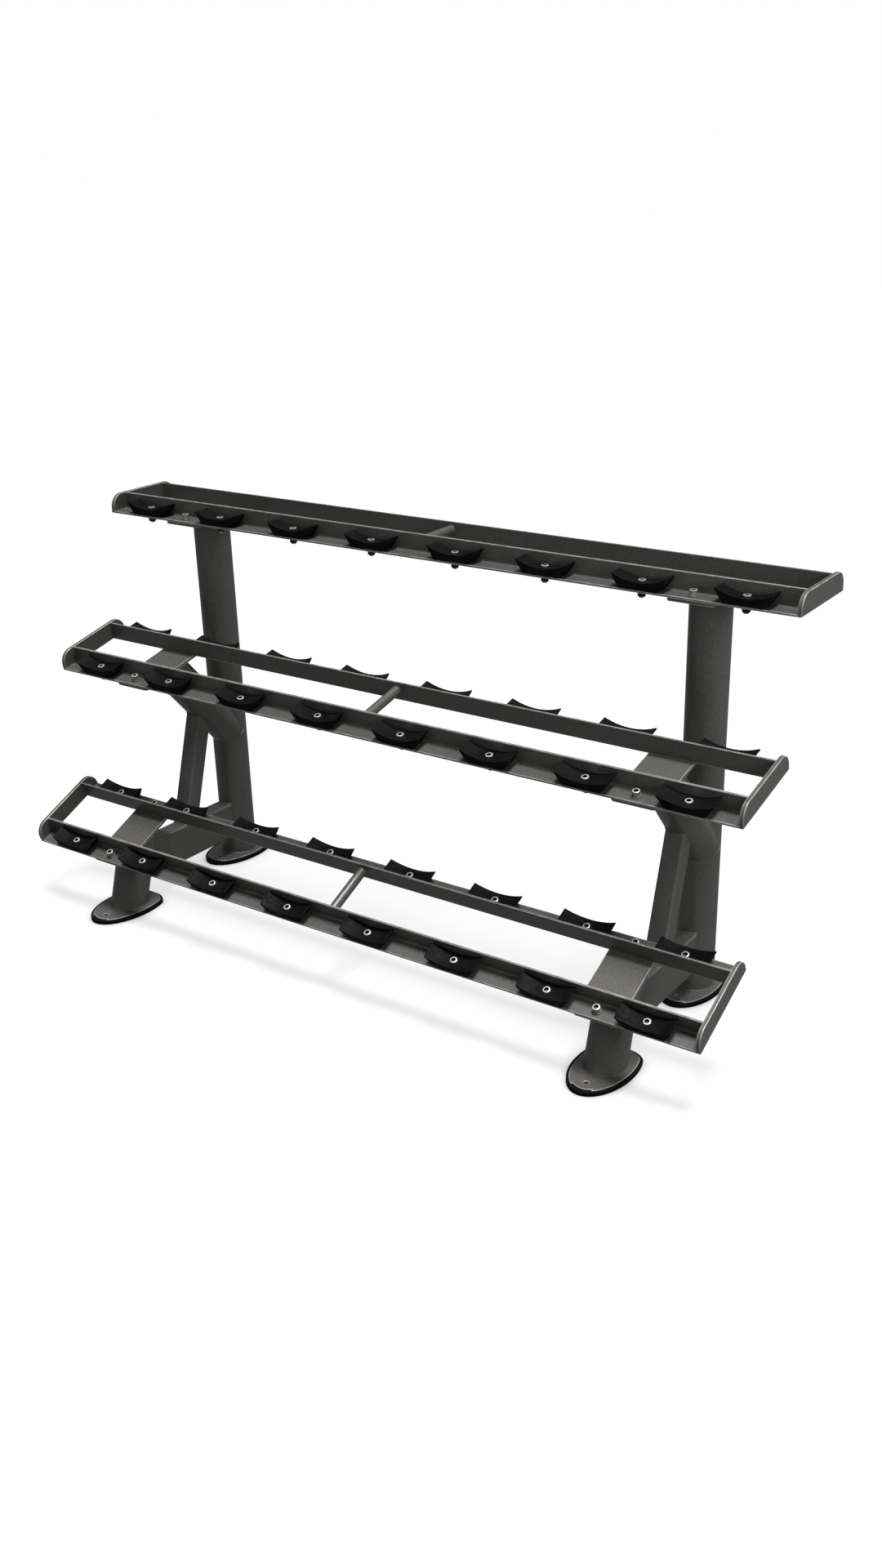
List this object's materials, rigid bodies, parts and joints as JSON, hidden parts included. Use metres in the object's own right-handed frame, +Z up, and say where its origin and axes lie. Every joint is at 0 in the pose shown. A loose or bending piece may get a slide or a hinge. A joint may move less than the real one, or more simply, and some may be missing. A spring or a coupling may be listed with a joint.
{
  "type": "dumbbell rack",
  "caption": "Free-standing steel rack with tilted tiers of paired angle rails, rubber saddles that cradle dumbbell heads, two tube uprights and oval feet in rubber trays.",
  "frame": {"origin": "on the floor below the middle of the rack, at the bottom centre of its bounding box", "axes": "+X along the rack, to the right seen from the front; +Y to the rear; +Z up"},
  "size_m": [2.016, 0.68, 1.0802],
  "materials": {
    "frame_paint": "dark warm grey metallic powder coat, satin, fine grain",
    "saddle_rubber": "black moulded rubber, satin",
    "foot_rubber": "black moulded rubber, matte",
    "bolt_steel": "bright zinc plate",
    "washer_steel": "grey zinc plate",
    "nut_steel": "dark phosphate"
  },
  "bodies": {
    "root": {"bottom_cross_tube": "frame_paint", "bottom_front_rail": "frame_paint", "bottom_front_saddles": "saddle_rubber", "bottom_left_end_plate": "frame_paint", "bottom_mount_bolts": "bolt_steel", "bottom_mount_washers": "washer_steel", "bottom_rear_rail": "frame_paint", "bottom_rear_saddles": "saddle_rubber", "bottom_right_end_plate": "frame_paint", "bottom_saddle_bolts": "bolt_steel", "bottom_saddle_nuts": "nut_steel", "bottom_saddle_washers": "washer_steel", "left_bottom_mount_plate": "frame_paint", "left_diagonal_brace": "frame_paint", "left_front_foot_pad": "foot_rubber", "left_front_foot_plate": "frame_paint", "left_front_post": "frame_paint", "left_lower_link": "frame_paint", "left_middle_arm": "frame_paint", "left_middle_mount_plate": "frame_paint", "left_rear_column": "frame_paint", "left_rear_foot_pad": "foot_rubber", "left_rear_foot_plate": "frame_paint", "left_top_mount_plate": "frame_paint", "middle_cross_tube": "frame_paint", "middle_front_rail": "frame_paint", "middle_front_saddles": "saddle_rubber", "middle_left_end_plate": "frame_paint", "middle_mount_bolts": "bolt_steel", "middle_mount_washers": "washer_steel", "middle_rear_rail": "frame_paint", "middle_rear_saddles": "saddle_rubber", "middle_right_end_plate": "frame_paint", "middle_saddle_bolts": "bolt_steel", "middle_saddle_nuts": "nut_steel", "middle_saddle_washers": "washer_steel", "right_bottom_mount_plate": "frame_paint", "right_diagonal_brace": "frame_paint", "right_front_foot_pad": "foot_rubber", "right_front_foot_plate": "frame_paint", "right_front_post": "frame_paint", "right_lower_link": "frame_paint", "right_middle_arm": "frame_paint", "right_middle_mount_plate": "frame_paint", "right_rear_column": "frame_paint", "right_rear_foot_pad": "foot_rubber", "right_rear_foot_plate": "frame_paint", "right_top_mount_plate": "frame_paint", "top_cross_tube": "frame_paint", "top_front_rail": "frame_paint", "top_front_saddles": "saddle_rubber", "top_left_end_plate": "frame_paint", "top_mount_bolts": "bolt_steel", "top_mount_washers": "washer_steel", "top_rear_rail": "frame_paint", "top_rear_saddles": "saddle_rubber", "top_right_end_plate": "frame_paint", "top_saddle_bolts": "bolt_steel", "top_saddle_nuts": "nut_steel", "top_saddle_washers": "washer_steel"}
  },
  "joints": []
}
